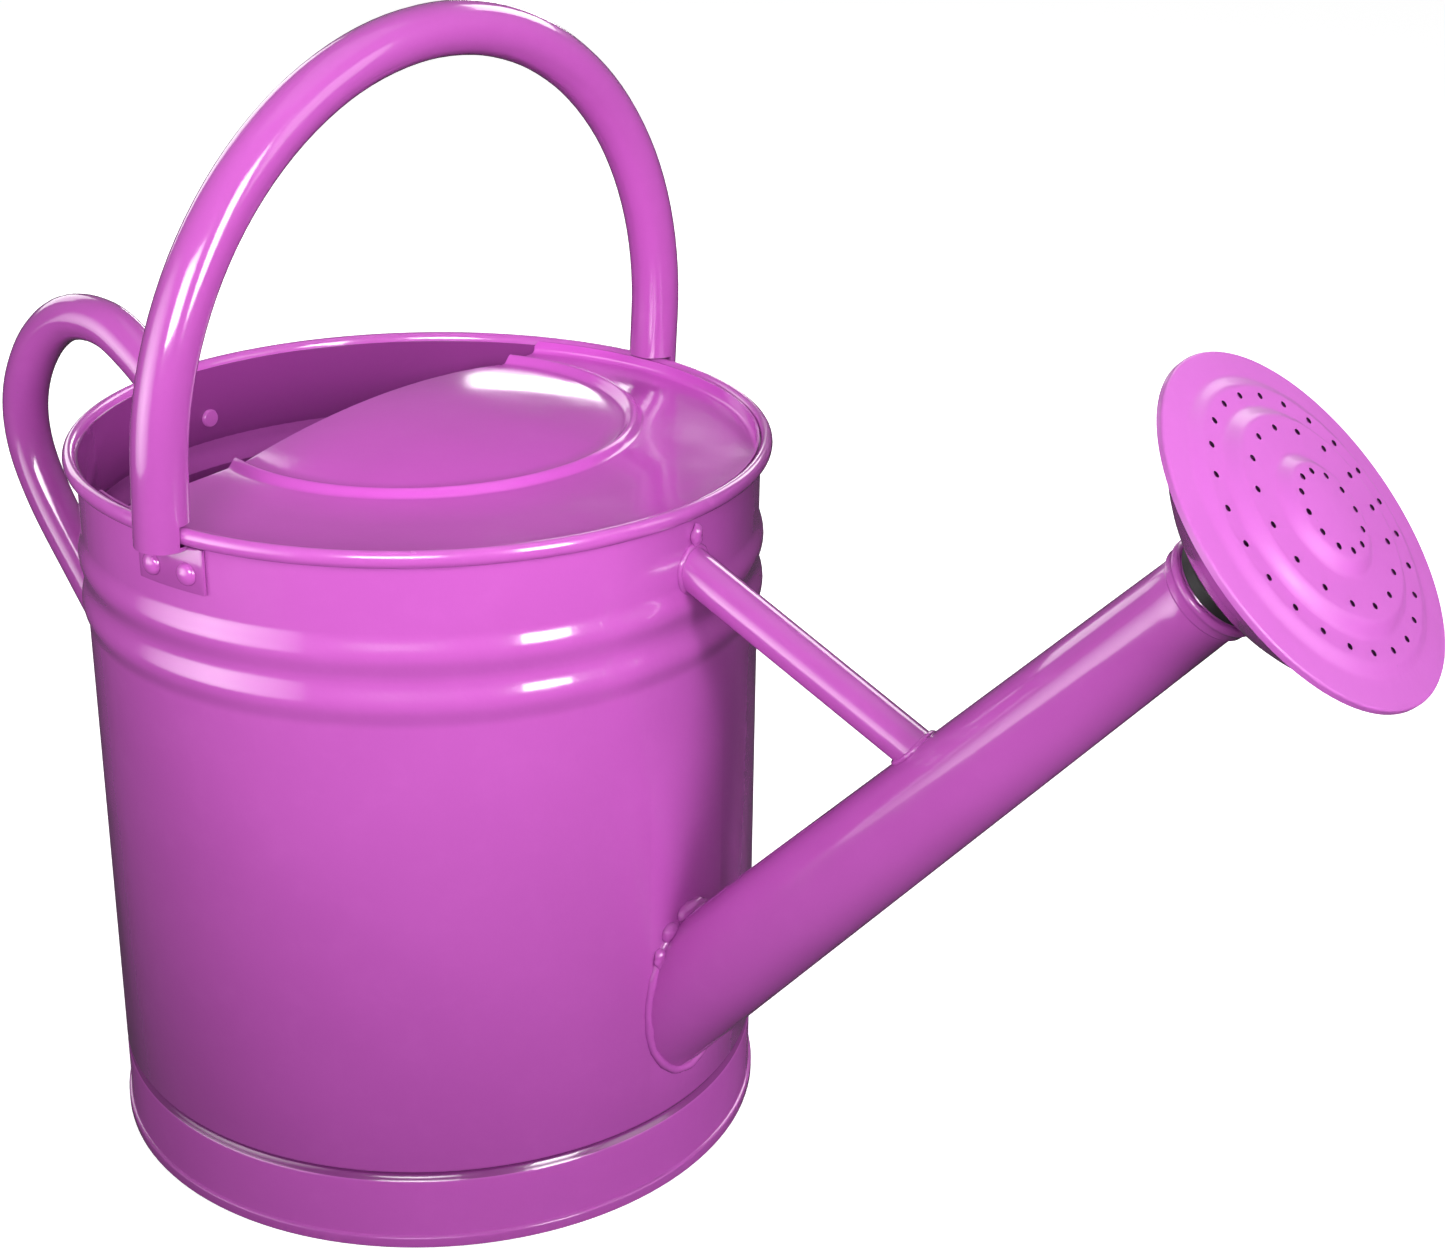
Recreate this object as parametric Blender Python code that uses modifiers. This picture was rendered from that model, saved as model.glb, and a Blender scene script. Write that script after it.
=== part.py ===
# Steel watering can: barrel, half cover, two tube handles, braced spout and a pull-off rose.
# Metres, +Z up, spout towards +X, the can stands on Z = 0.
import math

import bmesh
import bpy
from mathutils import Matrix, Vector

MM = 0.001

# Sheet, gaps and smoothness
sheet = 0.6 * MM             # sheet steel of the barrel, cover and spout
gap = 0.3 * MM               # clearance between pieces that touch
turned_steps = 48            # facets around the barrel
small_steps = 32             # facets around the spout and the rose

# Barrel
wall_radius = 89.1 * MM
barrel_height = 194.6 * MM
rim_bead_width = 3.3 * MM
rim_bead_height = 4.4 * MM
hem_height = 3.3 * MM
hem_depth = 0.9 * MM
groove_height = 21.4 * MM
groove_half = 2.0 * MM
groove_depth = 1.2 * MM
swage_heights = (barrel_height - 40.4 * MM, barrel_height - 27.8 * MM)
swage_half = 6.2 * MM
swage_depth = 1.8 * MM

# Bottom pan and splash cover
pan_skirt = 9 * MM
cover_drop = 6.2 * MM        # cover's top face below the rim
cover_edge = -31 * MM        # straight free edge, from the barrel's axis
ring_radius = wall_radius - 32.1 * MM  # pressed ring in the cover
ring_centre = (-15 * MM, 17 * MM)
ring_width = 6 * MM
ring_height = 2.2 * MM
dome_height = 2.5 * MM

# Handles
tube_radius = 6.75 * MM
tube_wall = 1.0 * MM
arch_reach = wall_radius + 2.6 * MM  # handle's centre line from the barrel's axis
arch_centre = barrel_height + 12.2 * MM  # height where the straight legs end
arch_forward = 3.3 * MM      # the handle stands this far in front of the barrel's axis
arch_lean = math.radians(3.0)
arch_turn = math.radians(1.5)  # the handle's plane is a little out of square with the spout
tab_sheet = 1.0 * MM
tab_half = 11 * MM
tab_height = 11 * MM
top_shelf = barrel_height - 5.4 * MM  # where the top handle's tube ends
half_cut = 2.4 * MM          # the tube's inner half is cut away up to here above the rim
rear_upper_shelf = barrel_height - 10.1 * MM
rear_lower_shelf = barrel_height - 128.6 * MM
rear_shelf_reach = 16.5 * MM  # how far the rear shelves close the slanted tube ends
rear_route = (               # centre line of the rear handle as (behind the wall, above the barrel's top)
    (2.9 * MM, -14.1 * MM),
    (20.9 * MM, -0.1 * MM),
    (34.9 * MM, 6.4 * MM),
    (50.9 * MM, 4.9 * MM),
    (64.2 * MM, -5.1 * MM),
    (72.7 * MM, -20.6 * MM),
    (73.5 * MM, -36.6 * MM),
    (66.5 * MM, -53.6 * MM),
    (52.4 * MM, -73.6 * MM),
    (36.9 * MM, -94.1 * MM),
    (21.9 * MM, -113.1 * MM),
    (4.9 * MM, -134.6 * MM),
)

# Rivets
shank_radius = 1.6 * MM
head_radius = 2.9 * MM
head_height = 1.7 * MM
shop_radius = 2.6 * MM
shop_height = 1.0 * MM
rivet_spacing = 11.6 * MM
rivet_drop = 6.6 * MM        # rivets below the shelf of their tab

# Spout, its ferrule and its brace
spout_angle = math.radians(47.1)
spout_foot = 56.9 * MM       # height where the axis leaves the wall
spout_base_radius = 15.65 * MM
spout_taper = 0.0245
spout_length = 203.5 * MM    # wall to mouth along the axis
ferrule_length = 4.5 * MM
ferrule_sheet = 0.9 * MM
brace_radius = 5.4 * MM
brace_wall = 0.8 * MM
brace_top = barrel_height - 18.6 * MM  # height on the wall
brace_reach = 110 * MM       # how far up the spout the brace lands

# Rose, its neck and its seal
rose_radius = 42.75 * MM
rose_stand = 24.6 * MM       # mouth of the spout to the rose's edge
neck_plug = 15 * MM          # how deep the neck sits in the spout
seal_plug = 13 * MM
seal_flange = 3.0 * MM
seal_wall = 3.1 * MM
seal_lap = 0.4 * MM          # flange beyond the mouth of the spout
seal_fit = 0.3 * MM          # seal's outside to the spout's bore
lip_depth = 1.6 * MM
hole_radius = 0.65 * MM
hole_rings = ((12, 9.4 * MM), (16, 21.2 * MM), (24, 30.6 * MM))
face_steps = ((13.0 * MM, 6.3 * MM), (26.0 * MM, 4.2 * MM), (34.5 * MM, 1.9 * MM))
step_run = 2.2 * MM

# Places that follow from the sizes
rim_outer = wall_radius + rim_bead_width - 0.1 * MM
mouth_radius = spout_base_radius - spout_taper * spout_length
neck_radius = mouth_radius - sheet - seal_fit - seal_wall - gap
seal_flange_radius = mouth_radius + seal_lap
spout_axis = Vector((math.cos(spout_angle), 0, math.sin(spout_angle)))
rose_edge_front = (wall_radius + (spout_length + rose_stand) * spout_axis.x
                   + rose_radius * math.sin(spout_angle))
near_azimuth = (arch_forward - arch_turn * arch_reach) / wall_radius - math.pi / 2
far_azimuth = math.pi / 2 - (arch_forward + arch_turn * arch_reach) / wall_radius
rear_back = wall_radius + max(point[0] for point in rear_route) + tube_radius
barrel_axis = Vector(((rear_back - rose_edge_front) / 2, 0, 0))
spout_start = Vector((wall_radius, 0, spout_foot))
orchid = (0.40, 0.055, 0.42)
rubber = (0.012, 0.012, 0.013)


# ---------------------------------------------------------------- helpers
def clear_scene():
    for obj in list(bpy.data.objects):
        bpy.data.objects.remove(obj, do_unlink=True)


def add_collection(name):
    collection = bpy.data.collections.new(name)
    bpy.context.scene.collection.children.link(collection)
    return collection


def paint(obj, colour, roughness, metallic):
    material = bpy.data.materials.new(obj.name)
    material.use_nodes = True
    shader = material.node_tree.nodes["Principled BSDF"]
    shader.inputs["Base Color"].default_value = (*colour, 1)
    shader.inputs["Roughness"].default_value = roughness
    shader.inputs["Metallic"].default_value = metallic
    obj.data.materials.append(material)
    return obj


def enamel(obj):
    return paint(obj, orchid, 0.22, 0.0)


def place(obj, cutter=False):
    """Link an object and hang it on the can's frame."""
    (cutters if cutter else can).objects.link(obj)
    obj.parent = frame
    if cutter:
        obj.hide_render = True
        obj.display_type = "WIRE"
    return obj


def arc(centre, radius, start, end, count):
    """Points on an arc in the (r, z) plane, angles in degrees from +r."""
    points = []
    for index in range(count + 1):
        angle = math.radians(start + (end - start) * index / count)
        points.append((centre[0] + radius * math.cos(angle), centre[1] + radius * math.sin(angle)))
    return points


def clockwise(outline):
    # the outline run down its outer side, which turns into an outward-facing solid
    area = sum(a[0] * b[1] - b[0] * a[1] for a, b in zip(outline, outline[1:] + outline[:1]))
    return outline[::-1] if area > 0 else outline


def turned(name, outline, steps=turned_steps, cutter=False):
    # a closed (r, z) outline turned right round +Z; a cutter's facets start half a facet on
    mesh = bpy.data.meshes.new(name)
    start = math.pi / steps if cutter else 0
    points = [(r * math.cos(start), r * math.sin(start), z) for r, z in clockwise(outline)]
    edges = [(index, (index + 1) % len(points)) for index in range(len(points))]
    mesh.from_pydata(points, edges, [])
    obj = place(bpy.data.objects.new(name, mesh), cutter)
    screw = obj.modifiers.new("turn", "SCREW")
    screw.axis = "Z"
    screw.steps = steps
    screw.render_steps = steps
    screw.use_merge_vertices = True
    screw.merge_threshold = 0.00001
    return obj


def strip(name, outline, azimuth, half_width):
    # a closed (r, z) outline swept a short way round the barrel, as a cutter to be joined on
    half_angle = half_width / wall_radius
    solid = bmesh.new()
    turn = Matrix.Rotation(azimuth - half_angle, 4, "Z")
    section = solid.faces.new([solid.verts.new(turn @ Vector((r, 0, z))) for r, z in outline])
    geometry = [section, *section.edges, *section.verts]
    bmesh.ops.spin(solid, geom=geometry, cent=(0, 0, 0), axis=(0, 0, 1), angle=2 * half_angle, steps=3)
    bmesh.ops.recalc_face_normals(solid, faces=solid.faces)
    mesh = bpy.data.meshes.new(name)
    solid.to_mesh(mesh)
    solid.free()
    return place(bpy.data.objects.new(name, mesh), cutter=True)


def tube(name, points, radius, ring=3, cutter=False):
    # a round bar along a line of points
    curve = bpy.data.curves.new(name, "CURVE")
    curve.dimensions = "3D"
    curve.bevel_depth = radius
    curve.bevel_resolution = ring
    curve.use_fill_caps = True
    line = curve.splines.new("POLY")
    line.points.add(len(points) - 1)
    for point, place_at in zip(line.points, points):
        point.co = (*place_at, 1)
    path = bpy.data.objects.new(name + "_path", curve)
    mesh = bpy.data.meshes.new_from_object(path)
    mesh.name = name
    bpy.data.objects.remove(path)
    solid = bmesh.new()
    solid.from_mesh(mesh)
    bmesh.ops.remove_doubles(solid, verts=solid.verts, dist=0.00001)
    bmesh.ops.triangulate(solid, faces=solid.faces)
    bmesh.ops.recalc_face_normals(solid, faces=solid.faces)
    solid.to_mesh(mesh)
    solid.free()
    return place(bpy.data.objects.new(name, mesh), cutter)


def rod(name, radius, start, end, steps=12):
    # a straight round cutter between two points
    solid = bmesh.new()
    bmesh.ops.create_cone(solid, cap_ends=True, segments=steps, radius1=radius, radius2=radius,
                          depth=(end - start).length)
    mesh = bpy.data.meshes.new(name)
    solid.to_mesh(mesh)
    solid.free()
    obj = place(bpy.data.objects.new(name, mesh), cutter=True)
    obj.location = (start + end) / 2
    obj.rotation_euler = (end - start).to_track_quat("Z", "Y").to_euler()
    return obj


def box(name, low, high):
    solid = bmesh.new()
    bmesh.ops.create_cube(solid, size=1)
    bmesh.ops.scale(solid, vec=Vector(high) - Vector(low), verts=solid.verts)
    mesh = bpy.data.meshes.new(name)
    solid.to_mesh(mesh)
    solid.free()
    obj = place(bpy.data.objects.new(name, mesh), cutter=True)
    obj.location = (Vector(low) + Vector(high)) / 2
    return obj


def combine(obj, other, operation):
    boolean = obj.modifiers.new(operation.lower(), "BOOLEAN")
    boolean.object = other
    boolean.operation = operation
    boolean.solver = "EXACT"
    return obj


def cut(obj, *others):
    for other in others:
        combine(obj, other, "DIFFERENCE")
    return obj


def join(obj, *others):
    for other in others:
        combine(obj, other, "UNION")
    return obj


def on_spout(obj, distance=0.0):
    # stand an upright turned piece on the spout's axis, measured from the wall
    obj.location = spout_start + distance * spout_axis
    obj.rotation_euler = (0, math.pi / 2 - spout_angle, 0)
    return obj


def smooth_route(points, steps):
    # Catmull-Rom curve through the points
    ends = [2 * points[0] - points[1], *points, 2 * points[-1] - points[-2]]
    route = []
    for a, b, c, d in zip(ends, ends[1:], ends[2:], ends[3:]):
        for index in range(steps):
            t = index / steps
            route.append(0.5 * (2 * b + (c - a) * t + (2 * a - 5 * b + 4 * c - d) * t ** 2
                                + (3 * b - a - 3 * c + d) * t ** 3))
    return [*route, points[-1]]


def spout_radius(distance):
    return spout_base_radius - spout_taper * distance


# ---------------------------------------------------------------- barrel
def bulge(height, half, depth, offset, count=4):
    # a pressed bead: half a cosine wave out of the wall
    points = []
    for index in range(count + 1):
        t = index / count
        points.append((wall_radius + offset + depth * math.sin(math.pi * t) ** 2,
                       height - half + 2 * half * t))
    return points


def wall_line(offset):
    line = bulge(groove_height, groove_half, -groove_depth, offset)
    for height in swage_heights:
        line += bulge(height, swage_half, swage_depth, offset)
    return line


def barrel_outline():
    hem = wall_radius + hem_depth
    bead_centre = (rim_outer - rim_bead_width / 2, barrel_height - rim_bead_height / 2)
    outer = [(wall_radius - sheet, 0), (hem - 0.5 * MM, 0), (hem, 0.5 * MM), (hem, hem_height - 0.8 * MM),
             (wall_radius + 0.2 * MM, hem_height)]
    bead = [(bead_centre[0] + r * rim_bead_width, bead_centre[1] + z * rim_bead_height)
            for r, z in arc((0, 0), 0.5, -160, 180, 9)]
    inner = [(wall_radius - sheet, bead_centre[1]), *wall_line(-sheet)[::-1]]
    return outer + wall_line(0) + bead + inner


def spout_opening(name, clearance):
    # the cone that the spout's bore leaves through the wall
    low = -30 * MM
    high = 60 * MM
    cone = turned(name, [(0, low), (spout_radius(low) - clearance, low),
                         (spout_radius(high) - clearance, high), (0, high)], small_steps, cutter=True)
    return on_spout(cone)


def make_barrel():
    barrel = turned("barrel", barrel_outline())
    cut(barrel, spout_opening("spout_hole", sheet + gap))
    for name, azimuth, height in rivet_places():
        cut(barrel, rivet_hole(name + "_wall_hole", azimuth, height))
    return enamel(barrel)


def barrel_skin(name):
    # cuts a piece back to a gap clear of the barrel's outside
    far = 2 * barrel_height
    wall = wall_radius + gap
    outline = [(0, -far), (wall, -far), *wall_line(gap), (wall, far), (0, far)]
    return turned(name, outline, cutter=True)


def make_pan():
    rim = wall_radius - sheet - gap
    top = groove_height - groove_half - gap
    outline = [(0, top - sheet), (0, top), (rim - 1 * MM, top), (rim, top - 1 * MM), (rim, top - pan_skirt),
               (rim - sheet, top - pan_skirt), (rim - sheet, top - 1.2 * MM), (rim - 1.2 * MM, top - sheet)]
    return enamel(turned("bottom_pan", outline))


# ---------------------------------------------------------------- splash cover
def cover_profile(lift):
    # height of the cover's sheet out from the middle of its pressed ring
    points = []
    inside = ring_radius - ring_width / 2
    for index in range(5):
        r = inside * index / 5
        points.append((r, lift + dome_height * (1 - (r / inside) ** 2)))
    for index in range(7):
        t = index / 6
        points.append((inside + ring_width * t, lift + ring_height * math.sin(math.pi * t) ** 2))
    points.append((2 * wall_radius, lift))
    return points


def make_cover():
    top = barrel_height - cover_drop
    sheet_outline = cover_profile(top) + cover_profile(top - sheet)[::-1]
    cover = turned("splash_cover", sheet_outline)
    cover.location = (*ring_centre, 0)
    rim = wall_radius - sheet - gap
    inside = turned("cover_outer", [(0, 0), (rim, 0), (rim, 2 * top), (0, 2 * top)], cutter=True)
    flange = turned("cover_flange", [(rim, top - sheet), (rim, barrel_height - 0.8 * MM),
                                     (rim - sheet, barrel_height - 0.8 * MM), (rim - sheet, top - sheet)],
                    cutter=True)
    fill_mouth = box("cover_chord", (-2 * wall_radius, -wall_radius, 0), (cover_edge, wall_radius, 2 * top))
    combine(cover, inside, "INTERSECT")
    join(cover, flange)
    cut(cover, fill_mouth)
    return enamel(cover)


# ---------------------------------------------------------------- handles
def tab_strips(name, azimuth, shelf, reach):
    # the flat riveted tab against the wall and the shelf that closes the tube's end
    face = wall_radius + gap
    back = face + tab_sheet
    lap = shelf + 0.2 * MM
    tab = strip(name + "_tab", [(face, shelf - tab_height), (back, shelf - tab_height), (back, lap),
                                (face, lap)], azimuth, tab_half)
    over = lap + 0.2 * MM
    step = strip(name + "_step", [(face, shelf - tab_sheet), (reach, shelf - tab_sheet), (reach, over),
                                  (face, over)], azimuth, tube_radius - tube_wall / 2)
    return step, tab


def rim_clearance(name, high):
    # keeps a handle's end off the wall and the rim
    wall = wall_radius + gap
    bead = rim_outer + gap
    under = barrel_height - rim_bead_height - gap
    outline = [(0, 0), (wall, 0), (wall, under), (bead, under), (bead, high), (0, high)]
    return turned(name, outline, cutter=True)


def finish_handle(handle, bore, ends):
    cut(handle, *[clearance for clearance, strips in ends], bore)
    for clearance, strips in ends:
        join(handle, *strips)
    for name, azimuth, height in rivet_places():
        if name.startswith(handle.name):
            cut(handle, rivet_hole(name + "_tab_hole", azimuth, height))
    return enamel(handle)


def leaning(y, z):
    # a point of the top handle's centre line
    return arch_forward + arch_turn * y + math.tan(arch_lean) * (z - top_shelf), y, z


def make_top_handle():
    below = top_shelf - tube_radius
    arch = [(-arch_reach, top_shelf)]
    for index in range(29):
        angle = math.pi * index / 28
        arch.append((-arch_reach * math.cos(angle), arch_centre + arch_reach * math.sin(angle)))
    arch.append((arch_reach, top_shelf))
    route = [leaning(y, z) for y, z in arch]
    handle = tube("top_handle", route, tube_radius)
    longer = [leaning(-arch_reach, below), *route[1:-1], leaning(arch_reach, below)]
    bore = tube("top_handle_bore", longer, tube_radius - tube_wall, cutter=True)
    clearance = rim_clearance("top_handle_rim", barrel_height + half_cut)
    reach = arch_reach + tube_radius - 0.2 * MM
    strips = [*tab_strips("near", near_azimuth, top_shelf, reach),
              *tab_strips("far", far_azimuth, top_shelf, reach)]
    return finish_handle(handle, bore, [(clearance, strips)])


def make_rear_handle():
    points = [Vector((-wall_radius - back, 0, barrel_height + rise)) for back, rise in rear_route]
    route = smooth_route(points, 3)
    handle = tube("rear_handle", route, tube_radius)
    first = 2 * route[0] - route[1]
    last = 2 * route[-1] - route[-2]
    bore = tube("rear_handle_bore", [first, *route, last], tube_radius - tube_wall, cutter=True)
    far = 2 * wall_radius
    under = box("rear_upper_end", (-wall_radius - 3 * tube_radius, -far, rear_upper_shelf - 3 * tube_radius),
                (0, far, rear_upper_shelf))
    below = box("rear_lower_end", (-far, -far, 0), (0, far, rear_lower_shelf))
    clearance = rim_clearance("rear_handle_rim", 2 * barrel_height)
    reach = wall_radius + rear_shelf_reach
    upper = tab_strips("rear_upper", math.pi, rear_upper_shelf, reach)
    lower = tab_strips("rear_lower", math.pi, rear_lower_shelf, reach)
    return finish_handle(handle, bore, [(under, upper), (below, lower), (clearance, [])])


# ---------------------------------------------------------------- rivets
def rivet_places():
    # name, azimuth and height of every rivet
    half_angle = rivet_spacing / 2 / wall_radius
    pairs = (("top_handle", near_azimuth, top_shelf), ("top_handle", far_azimuth, top_shelf),
             ("rear_handle", math.pi, rear_upper_shelf), ("rear_handle", math.pi, rear_lower_shelf))
    places = []
    for pair, (handle, azimuth, shelf) in enumerate(pairs):
        first = 1 + 2 * (pair % 2)
        places.append((f"{handle}_rivet_{first}", azimuth - half_angle, shelf - rivet_drop))
        places.append((f"{handle}_rivet_{first + 1}", azimuth + half_angle, shelf - rivet_drop))
    return places


def outward(azimuth):
    return Vector((math.cos(azimuth), math.sin(azimuth), 0))


def rivet_hole(name, azimuth, height):
    middle = outward(azimuth) * wall_radius + Vector((0, 0, height))
    reach = outward(azimuth) * 5 * MM
    return rod(name, shank_radius + gap, middle - reach, middle + reach)


def make_rivet(name, azimuth, height):
    head = gap + tab_sheet + gap
    back = -sheet - gap - 0.1 * MM
    low = back - shop_height
    outline = [(0, low), (shop_radius - 0.4 * MM, low), (shop_radius, back - 0.3 * MM), (shop_radius, back),
               (shank_radius, back), (shank_radius, head), (head_radius, head),
               (head_radius * 0.85, head + head_height * 0.55),
               (head_radius * 0.5, head + head_height * 0.88), (0, head + head_height)]
    rivet = turned(name, outline, 12)
    rivet.location = outward(azimuth) * wall_radius + Vector((0, 0, height))
    rivet.rotation_euler = outward(azimuth).to_track_quat("Z", "Y").to_euler()
    return paint(rivet, orchid, 0.25, 0.0)


# ---------------------------------------------------------------- spout
def make_spout():
    low = -40 * MM
    outline = [(spout_radius(low), low), (mouth_radius, spout_length),
               (mouth_radius - sheet, spout_length), (spout_radius(low) - sheet, low)]
    spout = on_spout(turned("spout_tube", outline, small_steps))
    return enamel(cut(spout, barrel_skin("spout_wall_cut")))


def make_ferrule():
    start = spout_length - ferrule_length
    inner = spout_radius(start) + gap
    outer = inner + ferrule_sheet
    lip = spout_length - ferrule_sheet
    outline = [(inner, start), (outer, start), (outer, lip - ferrule_sheet), (outer + 0.6 * MM, lip),
               (outer, spout_length), (inner, spout_length)]
    return enamel(on_spout(turned("spout_ferrule", outline, small_steps)))


def make_brace():
    foot = spout_start + brace_reach * spout_axis
    foot += Vector((-spout_axis.z, 0, spout_axis.x)) * spout_radius(brace_reach)
    head = Vector((wall_radius, 0, brace_top))
    along = (foot - head).normalized()
    over = 2.5 * brace_radius
    brace = tube("spout_brace", [head - over * along, foot + over * along], brace_radius)
    bore = tube("brace_bore", [head - 2 * over * along, foot + 2 * over * along], brace_radius - brace_wall,
                cutter=True)
    mouth = (mouth_radius + gap, spout_length)
    skin = turned("brace_spout_cut", [(0, 0), (spout_radius(0) + gap, 0), mouth, (0, spout_length)],
                  small_steps, cutter=True)
    cut(brace, barrel_skin("brace_wall_cut"), on_spout(skin), bore)
    return enamel(brace)


# ---------------------------------------------------------------- rose, built about its own axis
def face_profile(lift):
    # stepped dome of the face plate, from the middle to its edge
    points = [(0, lift + face_steps[0][1] + 0.5 * MM)]
    levels = [height for radius, height in face_steps[1:]] + [0.4 * MM]
    for (radius, height), below in zip(face_steps, levels):
        points.append((radius - step_run / 2, lift + height))
        points.append((radius + step_run / 2, lift + below))
    return points


def make_face():
    edge = rose_radius
    back = [(edge - sheet, -lip_depth), (edge - sheet, -sheet)]
    outline = face_profile(0) + [(edge - 0.4 * MM, 0), (edge, -0.4 * MM), (edge, -lip_depth)] + back
    outline += face_profile(-sheet)[::-1]
    face = turned("rose_face", outline, small_steps)
    drills = bpy.data.meshes.new("rose_holes")
    solid = bmesh.new()
    for count, radius in hole_rings:
        for index in range(count):
            angle = 2 * math.pi * (index + 0.5) / count
            at = Matrix.Translation((radius * math.cos(angle), radius * math.sin(angle), 0))
            bmesh.ops.create_cone(solid, cap_ends=True, segments=6, radius1=hole_radius, radius2=hole_radius,
                                  depth=20 * MM, matrix=at)
    solid.to_mesh(drills)
    solid.free()
    drill = place(bpy.data.objects.new("rose_holes", drills), cutter=True)
    return enamel(on_rose(cut(face, on_rose(drill))))


def on_rose(obj):
    return on_spout(obj, spout_length + rose_stand)


def make_cone():
    # back of the rose, from the seal's flange out to the face plate's lip
    start = seal_flange + 2 * gap - rose_stand
    hub = neck_radius + gap
    edge = rose_radius - sheet - gap
    flat = -sheet - gap
    outline = [(hub, start), (hub + 1.5 * MM, start), (edge - 1.6 * MM, flat - sheet), (edge, flat - sheet),
               (edge, flat), (edge - 2.2 * MM, flat), (hub + 1.2 * MM, start + 1.6 * sheet),
               (hub, start + 1.6 * sheet)]
    return enamel(on_rose(turned("rose_cone", outline, small_steps)))


def make_neck():
    # tube through the cone's hub, with a collar inside the rose
    end = seal_flange + 2 * gap + 1.6 * sheet + gap - rose_stand
    start = -rose_stand - neck_plug
    inner = neck_radius - 0.7 * MM
    outline = [(inner, start), (neck_radius, start), (neck_radius, end), (neck_radius + 1.4 * MM, end),
               (neck_radius + 1.4 * MM, end + 0.8 * MM), (inner, end + 0.8 * MM)]
    return enamel(on_rose(turned("rose_neck", outline, small_steps)))


def make_seal():
    # rubber ring between the neck and the spout's mouth
    inner = neck_radius + gap
    outer = mouth_radius - sheet - seal_fit
    outline = [(inner, -seal_plug), (outer - 0.4 * MM, -seal_plug), (outer, 1 * MM - seal_plug), (outer, gap),
               (seal_flange_radius, gap), (seal_flange_radius, gap + seal_flange - 0.6 * MM),
               (seal_flange_radius - 0.6 * MM, gap + seal_flange), (inner, gap + seal_flange)]
    seal = on_spout(turned("rose_seal", outline, small_steps), spout_length)
    return paint(seal, rubber, 0.6, 0.0)


# ---------------------------------------------------------------- build
clear_scene()
can = add_collection("watering_can")
cutters = add_collection("cutters")
frame = bpy.data.objects.new("can_frame", None)
can.objects.link(frame)
frame.location = barrel_axis

make_barrel()
make_pan()
make_cover()
make_top_handle()
make_rear_handle()
for rivet in rivet_places():
    make_rivet(*rivet)
make_spout()
make_ferrule()
make_brace()
make_face()
make_cone()
make_neck()
make_seal()
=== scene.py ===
import math

import bmesh
import bpy
from mathutils import Matrix, Vector


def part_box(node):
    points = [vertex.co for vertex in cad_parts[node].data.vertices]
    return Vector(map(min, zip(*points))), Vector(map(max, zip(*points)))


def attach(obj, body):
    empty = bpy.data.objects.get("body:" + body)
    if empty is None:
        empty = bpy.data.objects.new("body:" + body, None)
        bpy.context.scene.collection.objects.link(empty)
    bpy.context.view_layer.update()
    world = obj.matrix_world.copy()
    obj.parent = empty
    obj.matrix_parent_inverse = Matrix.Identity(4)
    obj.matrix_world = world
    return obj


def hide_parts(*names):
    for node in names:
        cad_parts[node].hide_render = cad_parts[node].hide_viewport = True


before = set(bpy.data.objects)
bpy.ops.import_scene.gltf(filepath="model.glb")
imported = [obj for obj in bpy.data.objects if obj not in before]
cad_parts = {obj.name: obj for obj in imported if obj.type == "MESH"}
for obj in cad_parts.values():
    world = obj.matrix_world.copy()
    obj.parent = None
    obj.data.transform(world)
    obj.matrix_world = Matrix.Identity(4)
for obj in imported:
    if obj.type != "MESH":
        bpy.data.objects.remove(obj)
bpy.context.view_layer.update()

barrelLow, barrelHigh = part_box("barrel")
axisX = (barrelLow.x + barrelHigh.x) / 2        # the barrel's upright axis, which pieces are modelled about
rimTop = barrelHigh.z
mm = 0.001


# modelling helpers, all in edit mode like work at the screen
def deselectAll():
    if bpy.context.object and bpy.context.object.mode == "EDIT":
        bpy.ops.object.mode_set(mode="OBJECT")
    for obj in list(bpy.context.selected_objects):
        obj.select_set(False)


def onlySelect(piece):
    deselectAll()
    piece.select_set(True)
    bpy.context.view_layer.objects.active = piece


def editNew(name):
    piece = bpy.context.object        # the primitive that was just added
    piece.name = name
    piece.data.name = name
    bpy.ops.object.transform_apply(location=True, rotation=True, scale=True)
    bpy.ops.object.mode_set(mode="EDIT")
    bpy.ops.mesh.select_mode(type="VERT")
    bpy.ops.mesh.select_all(action="SELECT")
    return piece


def selectVerts(piece, test):
    bpy.ops.mesh.select_all(action="DESELECT")
    mesh = bmesh.from_edit_mesh(piece.data)
    for vert in mesh.verts:
        vert.select_set(test(vert.co))
    mesh.select_flush_mode()
    bmesh.update_edit_mesh(piece.data)


def selectFaces(piece, test):
    bpy.ops.mesh.select_mode(type="FACE")
    bpy.ops.mesh.select_all(action="DESELECT")
    mesh = bmesh.from_edit_mesh(piece.data)
    for face in mesh.faces:
        face.select_set(test(face))
    mesh.select_flush_mode()
    bmesh.update_edit_mesh(piece.data)


def extrudeStep(move, size=(1, 1, 1), about=(0, 0, 0)):
    bpy.ops.mesh.extrude_region_move(TRANSFORM_OT_translate={"value": move})
    if tuple(size) != (1, 1, 1):
        bpy.ops.transform.resize(value=size, center_override=about)


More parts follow.
